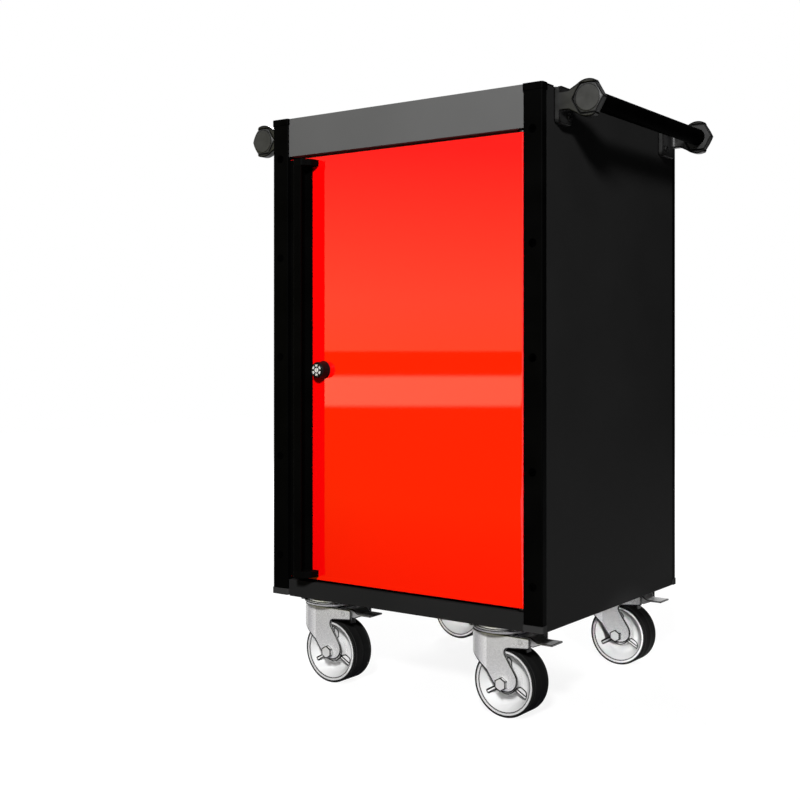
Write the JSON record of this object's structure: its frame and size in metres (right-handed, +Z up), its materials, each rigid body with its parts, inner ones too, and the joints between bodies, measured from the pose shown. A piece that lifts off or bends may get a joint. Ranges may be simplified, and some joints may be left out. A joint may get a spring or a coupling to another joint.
{
  "type": "mobile storage locker",
  "caption": "Upright steel storage locker on braked swivel castors, with a hinged lockable front door, inner shelves and a side grip bar held in spanner-shaped brackets.",
  "frame": {"origin": "on the floor, under the middle of the whole outline", "axes": "+Z up, -Y towards the door's front, +X towards the hinge side"},
  "size_m": [0.8148, 0.602, 1.1315],
  "materials": {
    "post_black": "satin black anodised extrusion",
    "cap_plastic": "fine-grained black moulding",
    "panel_black": "satin black powder coat",
    "fascia_grey": "satin dark grey paint",
    "door_red": "gloss red paint",
    "mat_rubber": "matt ribbed rubber",
    "dark_screws": "blackened steel",
    "bracket_grey": "satin dark grey casting",
    "bar_black": "satin black paint on tube",
    "zinc_steel": "bright zinc plating",
    "lock_chrome": "polished",
    "bush_plastic": "plain black bearing plastic",
    "wheel_silver": "machined casting",
    "tread_black": "smooth hard rubber"
  },
  "bodies": {
    "cabinet": {"post_front_left": "post_black", "post_front_right": "post_black", "post_rear_left": "post_black", "post_rear_right": "post_black", "post_caps": "cap_plastic", "post_plugs": "cap_plastic", "side_panel_left": "panel_black", "side_panel_right": "panel_black", "back_panel": "panel_black", "top_panel": "panel_black", "base_floor": "panel_black", "castor_rails": "panel_black", "bottom_rail": "panel_black", "shelf_uprights": "panel_black", "shelves": "panel_black", "front_fascia": "fascia_grey", "top_mat": "mat_rubber", "door_bumpers": "mat_rubber", "top_screws": "dark_screws", "handle_screws": "dark_screws", "handle_brackets_left": "bracket_grey", "handle_brackets_right": "bracket_grey", "handle_nuts": "bracket_grey", "grip_bar_left": "bar_black", "grip_bar_right": "bar_black", "castor_plates": "zinc_steel", "castor_bolts": "zinc_steel", "strike_plate": "zinc_steel", "shelf_clips": "zinc_steel", "hinge_bushes": "bush_plastic"},
    "door": {"door_skin": "door_red", "door_inner": "panel_black", "hinge_pins": "dark_screws", "pull_handle": "post_black", "pull_caps": "cap_plastic", "lock_housing": "cap_plastic"},
    "lock": {"lock_knob": "cap_plastic", "lock_plug": "lock_chrome", "lock_cam": "zinc_steel"},
    "castor_front_left": {"fork_front_left": "zinc_steel", "fork_bolts_front_left": "zinc_steel"},
    "wheel_front_left": {"wheel_core_front_left": "wheel_silver", "tyre_front_left": "tread_black"},
    "pedal_front_left": {"brake_pedal_front_left": "zinc_steel"},
    "castor_front_right": {"fork_front_right": "zinc_steel", "fork_bolts_front_right": "zinc_steel"},
    "wheel_front_right": {"wheel_core_front_right": "wheel_silver", "tyre_front_right": "tread_black"},
    "pedal_front_right": {"brake_pedal_front_right": "zinc_steel"},
    "castor_rear_left": {"fork_rear_left": "zinc_steel", "fork_bolts_rear_left": "zinc_steel"},
    "wheel_rear_left": {"wheel_core_rear_left": "wheel_silver", "tyre_rear_left": "tread_black"},
    "pedal_rear_left": {"brake_pedal_rear_left": "zinc_steel"},
    "castor_rear_right": {"fork_rear_right": "zinc_steel", "fork_bolts_rear_right": "zinc_steel"},
    "wheel_rear_right": {"wheel_core_rear_right": "wheel_silver", "tyre_rear_right": "tread_black"},
    "pedal_rear_right": {"brake_pedal_rear_right": "zinc_steel"}
  },
  "joints": [
    {"name": "door_hinge", "type": "hinge", "parent": "cabinet", "child": "door", "pos_m": [0.263, -0.254, 0.62525], "axis": [0, 0, 1], "range_deg": [0, 90]},
    {"name": "lock_turn", "type": "hinge", "parent": "door", "child": "lock", "pos_m": [-0.187, -0.263, 0.622], "axis": [0, 1, 0], "range_deg": [0, 90]},
    {"name": "swivel_front_left", "type": "hinge", "parent": "cabinet", "child": "castor_front_left", "pos_m": [-0.201, -0.217, 0.151], "axis": [0, 0, 1], "continuous": true},
    {"name": "roll_front_left", "type": "hinge", "parent": "castor_front_left", "child": "wheel_front_left", "pos_m": [-0.1845, -0.217, 0.0625], "axis": [0, 1, 0], "continuous": true},
    {"name": "brake_front_left", "type": "hinge", "parent": "castor_front_left", "child": "pedal_front_left", "pos_m": [-0.147, -0.217, 0.1415], "axis": [0, 1, 0], "range_deg": [0, 10]},
    {"name": "swivel_front_right", "type": "hinge", "parent": "cabinet", "child": "castor_front_right", "pos_m": [0.201, -0.217, 0.151], "axis": [0, 0, 1], "continuous": true},
    {"name": "roll_front_right", "type": "hinge", "parent": "castor_front_right", "child": "wheel_front_right", "pos_m": [0.2175, -0.217, 0.0625], "axis": [0, 1, 0], "continuous": true},
    {"name": "brake_front_right", "type": "hinge", "parent": "castor_front_right", "child": "pedal_front_right", "pos_m": [0.255, -0.217, 0.1415], "axis": [0, 1, 0], "range_deg": [0, 10]},
    {"name": "swivel_rear_left", "type": "hinge", "parent": "cabinet", "child": "castor_rear_left", "pos_m": [-0.201, 0.245, 0.151], "axis": [0, 0, 1], "continuous": true},
    {"name": "roll_rear_left", "type": "hinge", "parent": "castor_rear_left", "child": "wheel_rear_left", "pos_m": [-0.1845, 0.245, 0.0625], "axis": [0, 1, 0], "continuous": true},
    {"name": "brake_rear_left", "type": "hinge", "parent": "castor_rear_left", "child": "pedal_rear_left", "pos_m": [-0.147, 0.245, 0.1415], "axis": [0, 1, 0], "range_deg": [0, 10]},
    {"name": "swivel_rear_right", "type": "hinge", "parent": "cabinet", "child": "castor_rear_right", "pos_m": [0.201, 0.245, 0.151], "axis": [0, 0, 1], "continuous": true},
    {"name": "roll_rear_right", "type": "hinge", "parent": "castor_rear_right", "child": "wheel_rear_right", "pos_m": [0.2175, 0.245, 0.0625], "axis": [0, 1, 0], "continuous": true},
    {"name": "brake_rear_right", "type": "hinge", "parent": "castor_rear_right", "child": "pedal_rear_right", "pos_m": [0.255, 0.245, 0.1415], "axis": [0, 1, 0], "range_deg": [0, 10]}
  ]
}
